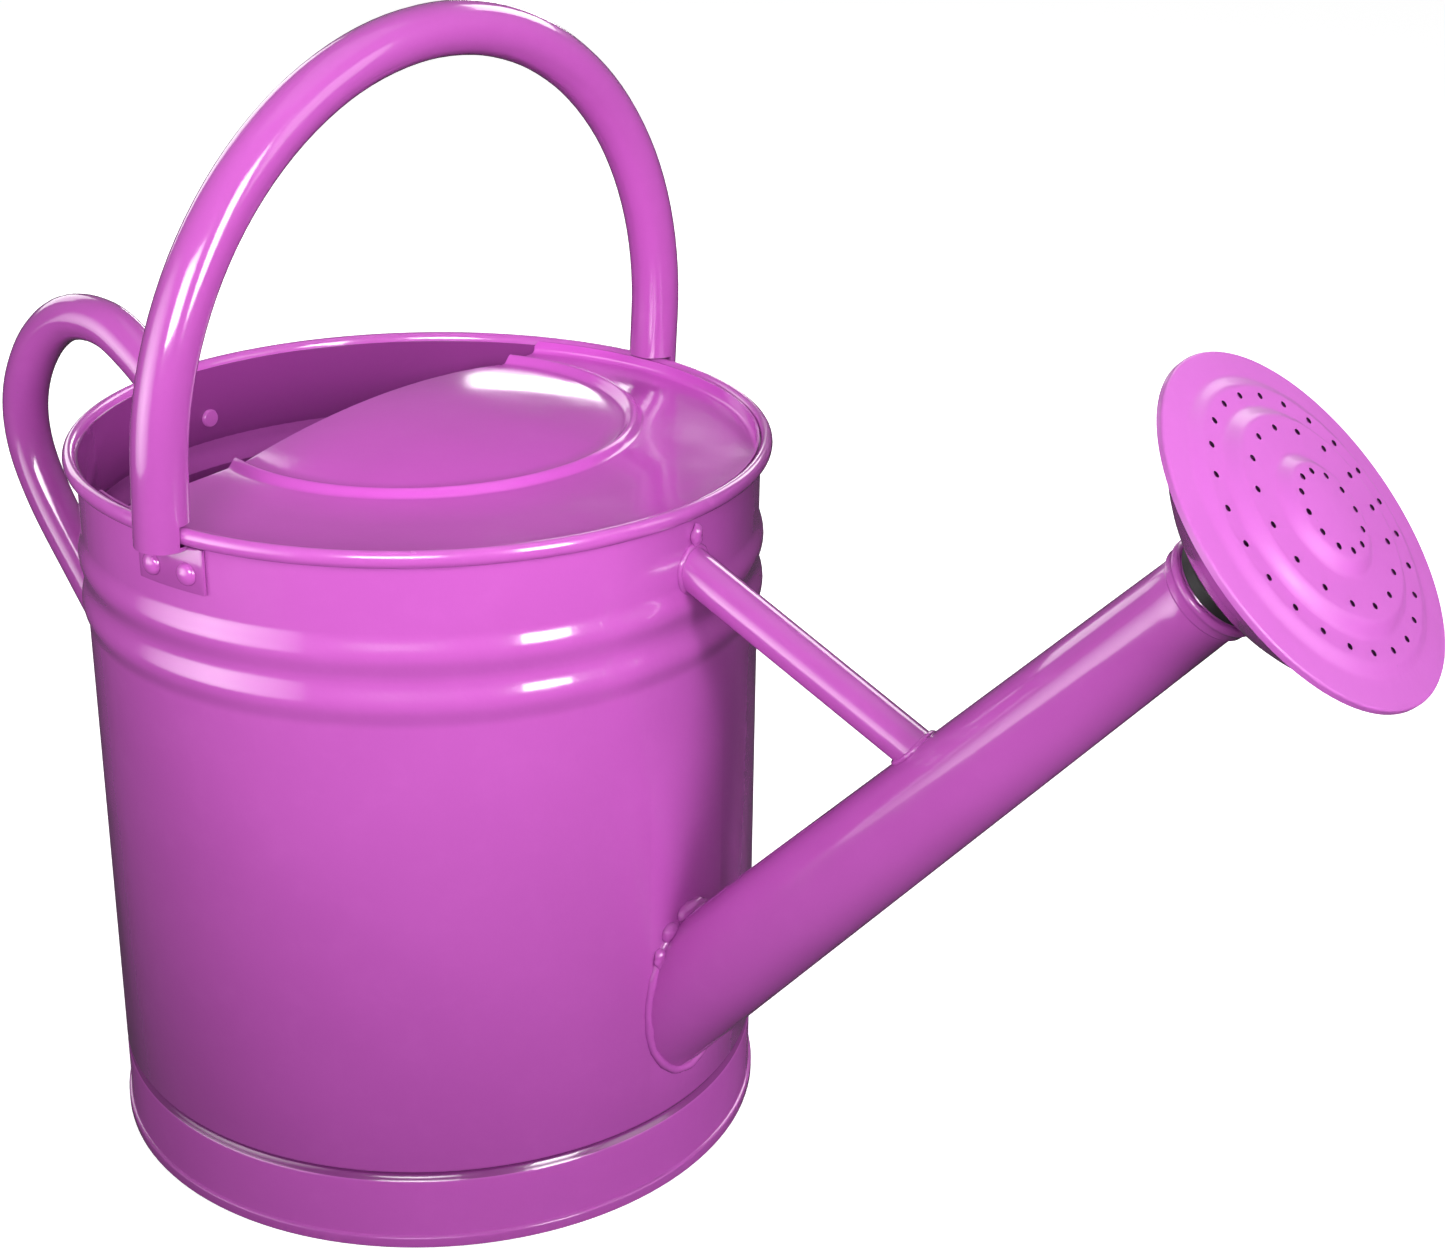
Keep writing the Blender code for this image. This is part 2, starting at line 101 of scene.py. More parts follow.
def turnedPiece(name, outline, count, closed=True, pole=False):
    # a ring extruded along an (r, z) outline; pole starts it from a filled disc
    radius, height = outline[0]
    deselectAll()
    bpy.ops.mesh.primitive_circle_add(vertices=count, radius=radius, location=(0, 0, height),
                                      fill_type="TRIFAN" if pole else "NOTHING")
    piece = editNew(name)
    if pole:
        selectVerts(piece, lambda at: at.xy.length > radius / 2)
    for nextRadius, nextHeight in outline[1:] + ([outline[0]] if closed else []):
        grow = nextRadius / radius
        extrudeStep((0, 0, nextHeight - height), (grow, grow, 1), (0, 0, nextHeight))
        radius, height = nextRadius, nextHeight
    if pole and not closed:
        bpy.ops.mesh.extrude_region_move()
        bpy.ops.mesh.merge(type="CENTER")
    tidyMesh()
    return piece


def tidyMesh():
    bpy.ops.mesh.select_all(action="SELECT")
    bpy.ops.mesh.remove_doubles(threshold=0.000004)
    bpy.ops.mesh.normals_make_consistent(inside=False)


def arc(centre, radius, start, end, count):
    points = []
    for index in range(count + 1):
        angle = math.radians(start + (end - start) * index / count)
        points.append((centre[0] + radius * math.cos(angle), centre[1] + radius * math.sin(angle)))
    return points


def pathPiece(name, points, radius, ring=9, closed=False, caps=False):
    # a single vertex drawn along a route, turned into a curve, thickened and made a mesh
    deselectAll()
    bpy.ops.mesh.primitive_plane_add(size=mm, location=points[0])
    editNew(name)
    bpy.ops.mesh.merge(type="CENTER")
    last = Vector(points[0])
    for point in points[1:]:
        extrudeStep(Vector(point) - last)
        last = Vector(point)
    if closed:
        bpy.ops.mesh.select_all(action="SELECT")
        bpy.ops.mesh.remove_doubles(threshold=0.00001)
    bpy.ops.object.mode_set(mode="OBJECT")
    bpy.ops.object.convert(target="CURVE")
    curve = bpy.context.object
    curve.data.bevel_depth = radius
    curve.data.bevel_resolution = ring
    curve.data.use_fill_caps = caps
    bpy.ops.object.convert(target="MESH")
    piece = bpy.context.object
    piece.name = name
    bpy.ops.object.mode_set(mode="EDIT")
    tidyMesh()
    bpy.ops.object.mode_set(mode="OBJECT")
    return piece


def smoothRoute(points, steps):
    ends = [2 * points[0] - points[1], *points, 2 * points[-1] - points[-2]]
    route = []
    for a, b, c, d in zip(ends, ends[1:], ends[2:], ends[3:]):
        for index in range(steps):
            t = index / steps
            route.append(0.5 * (2 * b + (c - a) * t + (2 * a - 5 * b + 4 * c - d) * t ** 2
                                + (3 * b - a - 3 * c + d) * t ** 3))
    return [*route, points[-1]]


def useModifier(piece, kind, **settings):
    onlySelect(piece)
    modifier = piece.modifiers.new(kind.title(), kind)
    for key, value in settings.items():
        setattr(modifier, key, value)
    bpy.ops.object.modifier_apply(modifier=modifier.name)


def cutAway(piece, cutter):
    useModifier(piece, "BOOLEAN", object=cutter, operation="DIFFERENCE", solver="EXACT")
    bpy.data.objects.remove(cutter)


def placePiece(piece, location=(0, 0, 0), rotation=(0, 0, 0)):
    onlySelect(piece)
    piece.location = location
    piece.rotation_euler = rotation
    bpy.ops.object.transform_apply(location=True, rotation=True, scale=True)


def joinPieces(name, pieces):
    deselectAll()
    for piece in pieces:
        piece.select_set(True)
    bpy.context.view_layer.objects.active = pieces[0]
    bpy.ops.object.join()
    pieces[0].name = name
    return pieces[0]


def finishPiece(piece, body, material, replaced=(), angle=38):
    onlySelect(piece)
    piece.location = (axisX, 0, 0)
    bpy.ops.object.transform_apply(location=True, rotation=True, scale=True)
    bpy.ops.object.shade_smooth_by_angle(angle=math.radians(angle))
    piece.data.materials.clear()
    piece.data.materials.append(material)
    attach(piece, body)
    if replaced:
        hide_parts(*replaced)
    return piece


camera = {"place": (0.3729, -0.4562, 0.3982), "look": (-0.5384, 0.7492, -0.3857),
          "roll": 0.0149, "lens": 61.49}


def makeCamera():
    look = Vector(camera["look"]).normalized()
    side = look.cross(Vector((0, 0, 1))).normalized()
    up = side.cross(look)
    right = math.cos(camera["roll"]) * side + math.sin(camera["roll"]) * up
    over = right.cross(look)
    bpy.ops.object.camera_add(location=camera["place"])
    viewer = bpy.context.object
    turn = Matrix((right, over, -look)).transposed()
    viewer.rotation_euler = turn.to_euler()
    viewer.data.lens = camera["lens"]
    viewer.data.sensor_width = 36
    viewer.data.clip_start = 0.01
    bpy.context.scene.camera = viewer


studio = {"low": 0.04, "high": 0.22, "paper": 1.0, "floorTone": 0.8, "floorLift": 0.8}
lights = (      # name, place, aimed at, size, power, spread
    ("keySoft", (-0.32, -0.52, 0.35), (-0.05, 0, 0.35), (0.75, 0.6), 1.05, 70),
    ("frontSoft", (0.42, -0.72, 0.56), (-0.04, 0, 0.37), (0.42, 0.34), 1.15, 54),
    ("topSoft", (0.15, 0.1, 1.25), (0, 0, 0.14), (0.8, 0.8), 1.0, 180),
    ("rightSoft", (0.95, -0.2, 0.55), (0.05, 0, 0.36), (0.3, 0.6), 1.7, 62),
    ("sideFill", (1.15, 0.45, 0.6), (0, 0, 0.15), (0.6, 0.6), 2.5, 180),
    ("backFill", (-0.15, 1.2, 0.9), (0, 0, 0.14), (0.5, 0.5), 4, 180),
    ("rearFill", (-1.15, 0.35, 0.6), (0, 0, 0.15), (0.6, 0.6), 2.6, 180),
    ("windowBack", (-0.72, 1.0, 0.4), (-0.05, 0, 0.18), (0.28, 0.14), 0.8, 180),
)


def makeLights():
    for name, place, target, size, power, spread in lights:
        bpy.ops.object.light_add(type="AREA", location=place)
        lamp = bpy.context.object
        lamp.name = name
        lamp.data.shape = "RECTANGLE"
        lamp.data.size, lamp.data.size_y = size
        lamp.data.energy = power
        lamp.data.spread = math.radians(spread)
        lamp.visible_camera = False
        lamp.rotation_euler = (Vector(target) - Vector(place)).to_track_quat("-Z", "Y").to_euler()
    world = bpy.data.worlds.new("studio")
    world.use_nodes = True
    wire = Wire(world.node_tree)
    toward = wire.add("ShaderNodeTexCoord", output=0)
    heading = wire.add("ShaderNodeSeparateXYZ", None, {"Vector": toward}, 2)
    rise = studio["high"] - studio["low"]
    around = studio["low"] + heading.clamp(-0.25, 0.45) * rise      # dim below, bright above
    seen = wire.add("ShaderNodeLightPath")      # the paper behind the can is brighter than the light it gives
    level = around + seen * (studio["paper"] - around)
    sky = world.node_tree.nodes["Background"]
    sky.inputs["Color"].default_value = (1, 1, 1, 1)
    world.node_tree.links.new(level.socket, sky.inputs["Strength"])
    bpy.context.scene.world = world
    bpy.context.scene.view_settings.view_transform = "Standard"


class Wire:
    # one socket of a material, with arithmetic

    def __init__(self, tree, socket=None):
        self.tree = tree
        self.socket = socket

    def add(self, kind, settings=None, sockets=None, output=0):
        node = self.tree.nodes.new(kind)
        for key, value in (settings or {}).items():
            setattr(node, key, value)
        for key, value in (sockets or {}).items():
            if isinstance(value, Wire):
                self.tree.links.new(value.socket, node.inputs[key])
            else:
                node.inputs[key].default_value = value
        return Wire(self.tree, node.outputs[output])

    def math(self, operation, *values):
        return self.add("ShaderNodeMath", {"operation": operation}, dict(enumerate(values)))

    def __add__(self, other):
        return self.math("ADD", self, other)

    def __sub__(self, other):
        return self.math("SUBTRACT", self, other)

    def __rsub__(self, other):
        return self.math("SUBTRACT", other, self)

    def __mul__(self, other):
        return self.math("MULTIPLY", self, other)

    __radd__ = __add__

    def clamp(self, low, high):
        # 0 at low, 1 at high, held at both ends
        return self.add("ShaderNodeMapRange", {"interpolation_type": "SMOOTHSTEP"},
                        {"Value": self, "From Min": low, "From Max": high})

    def noise(self, where, scale, detail=2, rough=0.5):
        return self.add("ShaderNodeTexNoise", None,
                        {"Vector": where, "Scale": scale, "Detail": detail, "Roughness": rough})

    def mix(self, factor, a, b):
        return self.add("ShaderNodeMix", {"data_type": "RGBA"}, {0: factor, 6: a, 7: b}, 2)


makeCamera()
makeLights()
print("camera and lights are set")


def opaque(colour):
    return (*colour, 1)


enamelLook = {
    "tone": (0.44, 0.084, 0.41),     # fresh orchid enamel
    "deep": (0.37, 0.064, 0.345),     # where it pooled or is thin over steel
    "pale": (0.51, 0.112, 0.48),
    "steel": (0.13, 0.12, 0.13),
    "shade": (0.2, 0.03, 0.185),     # painted shade inside the barrel
    "gloss": 0.16,
    "wave": 0.00042,                 # hand-worked sheet, slow waves
    "peel": 0.000022,                # orange peel
    "chips": 0.15,
    "coat": 0.55,
}


def makeEnamel(name, **changes):
    look = {**enamelLook, "edge": None, "bore": None, "inside": None, **changes}
    material = bpy.data.materials.new(name)
    material.use_nodes = True
    tree = material.node_tree
    shader = tree.nodes["Principled BSDF"]
    wire = Wire(tree)
    here = wire.add("ShaderNodeTexCoord", output=3)
    moved = wire.add("ShaderNodeMapping", None, {"Vector": here, "Location": (-axisX, 0, 0)})
    cloud = wire.noise(moved, 14, 3)
    mottle = wire.noise(moved, 120, 4, 0.6)
    colour = wire.mix(cloud.clamp(0.35, 0.7) * 0.3, opaque(look["tone"]), opaque(look["deep"]))
    colour = wire.mix(mottle.clamp(0.45, 0.75) * 0.12, colour, opaque(look["pale"]))
    # a few fine chips down to the steel
    grit = wire.add("ShaderNodeTexVoronoi", {"feature": "F1"}, {"Vector": moved, "Scale": 330}, 0)
    rare = wire.noise(moved, 55, 1).clamp(0.60, 0.66)
    speck = (1 - grit.clamp(0.05, 0.13)) * rare * look["chips"]
    colour = wire.mix(speck, colour, opaque(look["steel"]))
    if look["edge"]:
        low, high = look["edge"]
        level = wire.add("ShaderNodeSeparateXYZ", None, {"Vector": moved}, 2)
        worn = level.clamp(low, high) * wire.noise(moved, 190, 3).clamp(0.58, 0.72)
        colour = wire.mix(worn * 0.35, colour, opaque(look["pale"]))
    # painted shade: the rose's hole walls are coloured near black
    if look["bore"]:
        holeShadeMask = wire.add("ShaderNodeAttribute", {"attribute_name": "bore"}, None, 2)
        colour = wire.mix(holeShadeMask, colour, opaque(look["bore"]))
    if look["inside"]:                # painted shade: the colour darkens inside the barrel
        across = wire.add("ShaderNodeVectorMath", {"operation": "MULTIPLY"}, {0: moved, 1: (1, 1, 0)})
        far = wire.add("ShaderNodeVectorMath", {"operation": "LENGTH"}, {0: across}, 1)
        colour = wire.mix(1 - far.clamp(look["inside"] - 0.3 * mm, look["inside"] - 0.2 * mm), colour,
                          opaque(look["shade"]))
    tree.links.new(colour.socket, shader.inputs["Base Color"])
    smear = wire.noise(moved, 34, 4, 0.65)
    rough = look["gloss"] + smear.clamp(0.4, 0.8) * 0.13 + speck * 0.1
    tree.links.new(rough.socket, shader.inputs["Roughness"])
    shader.inputs["Specular IOR Level"].default_value = 0.5
    shader.inputs["Coat Weight"].default_value = look["coat"]
    shader.inputs["Coat Roughness"].default_value = 0.04
    slow = wire.add("ShaderNodeBump", None, {"Strength": 1.0, "Distance": look["wave"],
                                             "Height": wire.noise(moved, 26, 1)})
    dimple = wire.noise(moved, 620, 2)
    height = dimple + smear * 0.8 - speck * 0.1
    fine = wire.add("ShaderNodeBump", None, {"Strength": 1.0, "Distance": look["peel"],
                                             "Height": height, "Normal": slow})
    tree.links.new(fine.socket, shader.inputs["Normal"])
    return material


def makeRubber():
    material = bpy.data.materials.new("sealRubber")
    material.use_nodes = True
    tree = material.node_tree
    shader = tree.nodes["Principled BSDF"]
    wire = Wire(tree)
    here = wire.add("ShaderNodeTexCoord", output=3)
    bloom = wire.noise(here, 240, 4, 0.6)
    colour = wire.mix(bloom.clamp(0.45, 0.8) * 0.6, (0.012, 0.011, 0.012, 1), (0.045, 0.042, 0.045, 1))
    tree.links.new(colour.socket, shader.inputs["Base Color"])
    tree.links.new((0.48 + bloom * 0.25).socket, shader.inputs["Roughness"])
    bump = wire.add("ShaderNodeBump", None, {"Strength": 0.6, "Distance": 0.00006,
                                             "Height": wire.noise(here, 1500, 3)})
    tree.links.new(bump.socket, shader.inputs["Normal"])
    return material


# the barrel: edge is the worn band by the rim, inside is the wall's radius, within which shade is painted
barrelEnamel = makeEnamel("barrelEnamel", edge=(0.188, 0.194), inside=89.1 * mm, chips=0.02)
panEnamel = makeEnamel("panEnamel", gloss=0.3, chips=0.3, wave=0.0006)
# the cover's enamel is a little lighter than the barrel's: partly its own paint, partly painted light
litCoverEnamel = makeEnamel("litCoverEnamel", wave=0.0009, gloss=0.12, coat=0.2,
                         tone=(0.50, 0.078, 0.465), deep=(0.43, 0.062, 0.395))
# the handle's enamel is about a fifth darker than the barrel's: painted shade, the same paint under less
# light
shadedHandleEnamel = makeEnamel("shadedHandleEnamel", wave=0.00025, gloss=0.13, tone=(0.355, 0.066, 0.33),
                          deep=(0.30, 0.052, 0.28), pale=(0.42, 0.09, 0.39))
rivetEnamel = makeEnamel("rivetEnamel", peel=0.00005, chips=0.3)
spoutEnamel = makeEnamel("spoutEnamel", wave=0.0005, gloss=0.14)
brazeEnamel = makeEnamel("brazeEnamel", wave=0.0007, peel=0.00012, gloss=0.18)
# the rose's enamel is a little lighter than the barrel's: partly its own paint, partly painted light
litRoseEnamel = makeEnamel("litRoseEnamel", bore=(0.02, 0.004, 0.02), gloss=0.42, coat=0.12, wave=0.0002,
                        tone=(0.45, 0.1, 0.435), deep=(0.41, 0.088, 0.395))
sealRubber = makeRubber()
print("finishes are mixed")


barrel = {"wall": 89.1 * mm, "sheet": 0.6 * mm, "beads": (154.2 * mm, 166.8 * mm), "beadHalf": 6.2 * mm,
          "beadDepth": 1.3 * mm, "groove": 21.4 * mm, "grooveHalf": 2.0 * mm, "grooveDepth": 1.2 * mm,
          "rimWidth": 3.3 * mm, "rimHeight": 4.4 * mm, "hem": 3.3 * mm, "hemDepth": 0.9 * mm, "facets": 144}
wall = barrel["wall"]


def beadLine(offset, steps=14):
    line = []
    swells = [(barrel["groove"], barrel["grooveHalf"], -barrel["grooveDepth"], 8)]
    swells += [(height, barrel["beadHalf"], barrel["beadDepth"], steps) for height in barrel["beads"]]
    for height, half, depth, count in swells:
        for index in range(count + 1):
            t = index / count
            line.append((wall + offset + depth * math.sin(math.pi * t) ** 2, height - half + 2 * half * t))
    return line


def makeBarrel():
    outside = wall + barrel["hemDepth"]
    hem = barrel["hem"]
    low = arc((outside - 0.5 * mm, 0.5 * mm), 0.5 * mm, -90, 0, 4)
    low += arc((outside - 0.6 * mm, hem - 0.6 * mm), 0.6 * mm, 0, 70, 4)
    low += [(wall + 0.15 * mm, hem + 0.1 * mm), (wall, hem + 0.5 * mm)]
    wide, tall = barrel["rimWidth"], barrel["rimHeight"]
    bead = [(wall - 0.1 * mm + (0.5 + r) * wide, rimTop + (z - 0.5) * tall)
            for r, z in arc((0, 0), 0.5, -150, 180, 20)]
    inner = [(wall - barrel["sheet"], rimTop - tall / 2)] + beadLine(-barrel["sheet"])[::-1]
    outline = [(wall - barrel["sheet"], 0.4 * mm), (wall, 0)] + low + beadLine(0) + bead + inner
    piece = turnedPiece("barrelShell", outline, barrel["facets"])
    bpy.ops.object.mode_set(mode="OBJECT")
    cutAway(piece, spoutCone("spoutHoleCutter", -spout["inset"], 60 * mm, -0.9 * mm))
    return finishPiece(piece, "can", barrelEnamel, ["barrel"], 32)


spout = {"angle": 47.1, "foot": 56.9 * mm, "base": 15.65 * mm, "taper": 0.0245, "sheet": 0.6 * mm,
         "length": 203.5 * mm, "inset": 30 * mm,      # inset is how far the cone starts inside the wall
         "ferrule": 4.5 * mm, "brace": 5.4 * mm, "braceTop": 176 * mm, "braceReach": 110 * mm}
spoutTurn = (0, math.radians(90 - spout["angle"]), 0)
spoutAlong = Vector((math.cos(math.radians(spout["angle"])), 0, math.sin(math.radians(spout["angle"]))))
spoutStart = Vector((wall, 0, spout["foot"]))


def spoutRadius(distance):
    return spout["base"] - spout["taper"] * distance


def onSpout(piece, distance=0):
    placePiece(piece, spoutStart + distance * spoutAlong, spoutTurn)
    return piece


def spoutCone(name, low, high, spare):
    outline = [(spoutRadius(low) + spare, low), (spoutRadius(high) + spare, high)]
    cone = turnedPiece(name, outline, 64, False, True)
    bpy.ops.object.mode_set(mode="OBJECT")
    return onSpout(cone)


def wallCutter(name, spare):
    line = [(wall + spare, -0.1), (wall + spare, 0.01)] + beadLine(spare) + [(wall + spare, 0.4)]
    piece = turnedPiece(name, line, barrel["facets"], False, True)
    bpy.ops.object.mode_set(mode="OBJECT")
    return piece


def makeSpout():
    outline = []
    start, end, sheet = -spout["inset"], spout["length"], spout["sheet"]
    for index in range(25):
        distance = start + (end - 0.4 * mm - start) * index / 24
        outline.append((spoutRadius(distance), distance))
    mouth = spoutRadius(end)
    outline += [(mouth - 0.3 * mm, end), (mouth - sheet, end - 0.3 * mm), (spoutRadius(start) - sheet, start)]
    piece = turnedPiece("spoutTube", outline, 72)
    bpy.ops.object.mode_set(mode="OBJECT")
    cutAway(onSpout(piece), wallCutter("spoutCut", 0.1 * mm))
    return finishPiece(piece, "can", spoutEnamel, ["spout_tube"])


def makeFerrule():
    end = spout["length"]
    inner = spoutRadius(end - spout["ferrule"]) + 0.15 * mm
    outline = [(inner, end - spout["ferrule"]), (inner + 0.35 * mm, end - spout["ferrule"])]
    outline += [(inner + 0.9 * mm, end - spout["ferrule"] + 0.7 * mm), (inner + 0.9 * mm, end - 2.4 * mm)]
    outline += arc((inner + 0.5 * mm, end - 1.05 * mm), 1.0 * mm, -50, 90, 7) + [(inner, end - 0.05 * mm)]
    piece = turnedPiece("spoutFerrule", outline, 72)
    bpy.ops.object.mode_set(mode="OBJECT")
    return finishPiece(onSpout(piece), "can", brazeEnamel, ["spout_ferrule"])


def jointRing(grow, count=72):
    # where the spout's skin meets the barrel wall, going round the spout
    ring = []
    for index in range(count):
        turn = 2 * math.pi * index / count
        side = Vector((-spoutAlong.z, 0, spoutAlong.x)) * math.cos(turn) + Vector((0, 1, 0)) * math.sin(turn)
        low, high = -40 * mm, 40 * mm
        for step in range(24):
            middle = (low + high) / 2
            at = spoutStart + middle * spoutAlong + side * (spoutRadius(middle) + grow)
            low, high = (middle, high) if at.xy.length < wall + grow * 0.4 else (low, middle)
        ring.append(at)
    return ring


def roughen(piece, size, strength, name):
    # lumps of filler metal under the paint
    texture = bpy.data.textures.new(name, "CLOUDS")
    texture.noise_scale = size
    useModifier(piece, "DISPLACE", texture=texture, strength=strength, mid_level=0.5, texture_coords="LOCAL")


def lump(name, place, size):
    deselectAll()
    bpy.ops.mesh.primitive_ico_sphere_add(subdivisions=4, radius=1, location=place, scale=size)
    piece = editNew(name)
    bpy.ops.object.mode_set(mode="OBJECT")
    roughen(piece, 0.0022, 0.0011, name + "Grain")
    return piece


def makeBraze():
    points = jointRing(0.35 * mm)
    fillet = pathPiece("spoutFillet", [*points, points[0]], 1.15 * mm, 5, closed=True)
    roughen(fillet, 0.004, 0.0009, "filletGrain")
    lumps = [fillet]
    for spot, shift, size in ((0, (0.6, 0, 0.8), (2.2, 6.0, 2.6)),       # round the joint from its top, in mm
                              (-6, (0.3, 0, 0.7), (1.8, 3.6, 2.6)),
                              (-10, (0.5, -0.5, 0), (1.5, 1.8, 3.2)),
                              (7, (0, 0, 0), (1.6, 3.4, 2.2))):
        lumps.append(lump("brazeLump", points[spot] + Vector(shift) * mm, Vector(size) * mm))
    piece = joinPieces("spoutBraze", lumps)
    return finishPiece(piece, "can", brazeEnamel, (), 60)


def makeBrace():
    foot = spoutStart + spout["braceReach"] * spoutAlong
    foot += Vector((-spoutAlong.z, 0, spoutAlong.x)) * spoutRadius(spout["braceReach"])
    head = Vector((wall, 0, spout["braceTop"]))
    along = (foot - head).normalized()
    route = [head - 8 * mm * along, foot + 8 * mm * along]
    piece = pathPiece("spoutBrace", route, spout["brace"], 11, caps=True)
    cutAway(piece, wallCutter("braceWallCut", 0.1 * mm))
    cutAway(piece, spoutCone("braceSpoutCut", -20 * mm, spout["length"], 0.1 * mm))
    finishPiece(piece, "can", spoutEnamel, ["spout_brace"])
    beads = [braceEnd("braceHeadBraze", head, along, -1), braceEnd("braceFootBraze", foot, along, 1)]
    beads.append(lump("braceNub", head + Vector((1.0, 0, 9.0)) * mm, Vector((1.3, 1.7, 3.2)) * mm))
    piece = joinPieces("braceBraze", beads)
    return finishPiece(piece, "can", brazeEnamel, (), 60)


def braceEnd(name, middle, along, direction):
    # a fillet round the tube's end, laid on the surface that it meets
    side = Vector((0, 1, 0))
    other = along.cross(side)
    points = []
    for index in range(40):
        turn = 2 * math.pi * index / 40
        spoke = side * math.cos(turn) + other * math.sin(turn)
        low, high = -12 * mm, 12 * mm
        for step in range(22):
            reach = (low + high) / 2
            at = middle + direction * reach * along + spoke * (spout["brace"] + 0.2 * mm)
            if direction < 0:
                inside = at.xy.length < wall + 0.2 * mm
            else:
                run = (at - spoutStart).dot(spoutAlong)
                inside = (at - spoutStart - run * spoutAlong).length < spoutRadius(run) + 0.2 * mm
            low, high = (low, reach) if inside else (reach, high)
        points.append(at)
    ring = pathPiece(name, [*points, points[0]], 0.75 * mm, 4, closed=True)
    roughen(ring, 0.003, 0.0008, name + "Grain")
    return ring


pan = {"top": 19.1 * mm, "sheet": 0.6 * mm, "skirt": 9 * mm, "gap": 0.9 * mm, "corner": 1.6 * mm}


def makePan():
    rim = wall - pan["gap"]
    top, sheet, corner = pan["top"], pan["sheet"], pan["corner"]
    outline = [(6 * mm, top), (24 * mm, top), (25.5 * mm, top - 0.5 * mm), (rim - 12 * mm, top - 0.5 * mm),
               (rim - 10 * mm, top), (rim - corner, top)]
    outline += arc((rim - corner, top - corner), corner, 90, 0, 5)[1:]
    outline += [(rim, top - pan["skirt"]), (rim - sheet, top - pan["skirt"])]
    outline += arc((rim - corner, top - corner), corner - sheet, 0, 90, 5)
    outline += [(rim - 10 * mm, top - sheet), (rim - 12 * mm, top - sheet - 0.5 * mm),
                (25.5 * mm, top - sheet - 0.5 * mm), (24 * mm, top - sheet), (6 * mm, top - sheet)]
    piece = turnedPiece("bottomPanShell", outline, 96, False, True)
    bpy.ops.object.mode_set(mode="OBJECT")
    return finishPiece(piece, "can", panEnamel, ["bottom_pan"])


cover = {"drop": 6.2 * mm, "edge": -31 * mm, "ring": 57 * mm, "middle": (-15 * mm, 17 * mm), "width": 6 * mm,
         "height": 2.2 * mm, "dome": 5 * mm, "sheet": 0.6 * mm, "bend": 1.4 * mm, "lean": -1.3,
         "flangeDrop": 0.8 * mm}


def makeCover():
    top = rimTop - cover["drop"]
    flangeTop = rimTop - cover["flangeDrop"]
    inside = cover["ring"] - cover["width"] / 2
    outline = []
    for index in range(1, 13):
        r = inside * index / 13
        outline.append((r, top + cover["dome"] * (1 - (r / inside) ** 2)))
    for index in range(13):
        t = index / 12
        outline.append((inside + cover["width"] * t, top + cover["height"] * math.sin(math.pi * t) ** 2))
    radius, height = outline[0]
    deselectAll()
    bpy.ops.mesh.primitive_circle_add(vertices=barrel["facets"], radius=radius, location=(0, 0, height),
                                      fill_type="TRIFAN")
    piece = editNew("splashCoverSheet")
    selectVerts(piece, lambda at: at.xy.length > radius / 2)
    for nextRadius, nextHeight in outline[1:]:
        grow = nextRadius / radius
        extrudeStep((0, 0, nextHeight - height), (grow, grow, 1), (0, 0, nextHeight))
        radius, height = nextRadius, nextHeight
    bpy.ops.object.mode_set(mode="OBJECT")
    placePiece(piece, (*cover["middle"], 0))
    onlySelect(piece)
    bpy.ops.object.mode_set(mode="EDIT")
    middle = Vector(cover["middle"])
    selectVerts(piece, lambda at: (at.xy - middle).length > radius - 0.1 * mm)
    outer = wall - 0.9 * mm
    for share in (0.35, 0.7, 1):                      # the flat border, from the ring out to the bend
        reach = radius + (outer - cover["bend"] - radius) * share
        centre = middle * (1 - share)
        grow = reach / bandRadius(piece)
        here = bandCentre(piece)
        extrudeStep((centre.x - here.x, centre.y - here.y, 0), (grow, grow, 1), (*centre, top))
    bpy.ops.mesh.select_all(action="SELECT")
    bpy.ops.transform.rotate(value=math.radians(cover["lean"]), orient_axis="X", center_override=(0, 0, top))
    selectVerts(piece, lambda at: at.xy.length > outer - cover["bend"] - 0.3 * mm)
    radius = outer - cover["bend"]
    for index in range(1, 5):
        turn = math.pi / 2 * index / 4
        reach = outer - cover["bend"] + cover["bend"] * math.sin(turn)
        rise = cover["bend"] * (math.cos(math.pi / 2 * (index - 1) / 4) - math.cos(turn))
        extrudeStep((0, 0, rise), (reach / radius, reach / radius, 1), (0, 0, top))
        radius = reach
    extrudeStep((0, 0, 2 * mm))
    bpy.ops.transform.resize(value=(1, 1, 0), center_override=(0, 0, flangeTop))
    bpy.ops.mesh.select_all(action="SELECT")
    bpy.ops.mesh.bisect(plane_co=(cover["edge"], 0, 0), plane_no=(-1, 0, 0), clear_outer=True)
    for side in (-1, 1):                               # the flange's free corners are snipped
        corner = (cover["edge"] + 1.2 * mm, side * 82 * mm, flangeTop)
        selectFaces(piece, lambda face: side * face.calc_center_median().y > 0.06 and
                    face.calc_center_median().xy.length > outer - 0.4 * mm)
        bpy.ops.mesh.bisect(plane_co=corner, plane_no=(-0.8, 0, 0.6), clear_outer=True)
        bpy.ops.mesh.select_mode(type="VERT")
    bpy.ops.mesh.select_all(action="SELECT")
    bpy.ops.mesh.remove_doubles(threshold=0.00002)
    bpy.ops.mesh.normals_make_consistent(inside=False)
    selectFaces(piece, lambda face: True)
    mesh = bmesh.from_edit_mesh(piece.data)
    if sum(face.normal.z * face.calc_area() for face in mesh.faces) < 0:
        bpy.ops.mesh.flip_normals()
    bpy.ops.object.mode_set(mode="OBJECT")
    useModifier(piece, "SOLIDIFY", thickness=cover["sheet"], offset=-1)
    return finishPiece(piece, "can", litCoverEnamel, ["splash_cover"], 50)


def bandVerts(piece):
    return [vert.co for vert in bmesh.from_edit_mesh(piece.data).verts if vert.select]


def bandCentre(piece):
    verts = bandVerts(piece)
    return sum(verts, Vector()) / len(verts)


def bandRadius(piece):
    centre = bandCentre(piece)
    return max((co - centre).xy.length for co in bandVerts(piece))


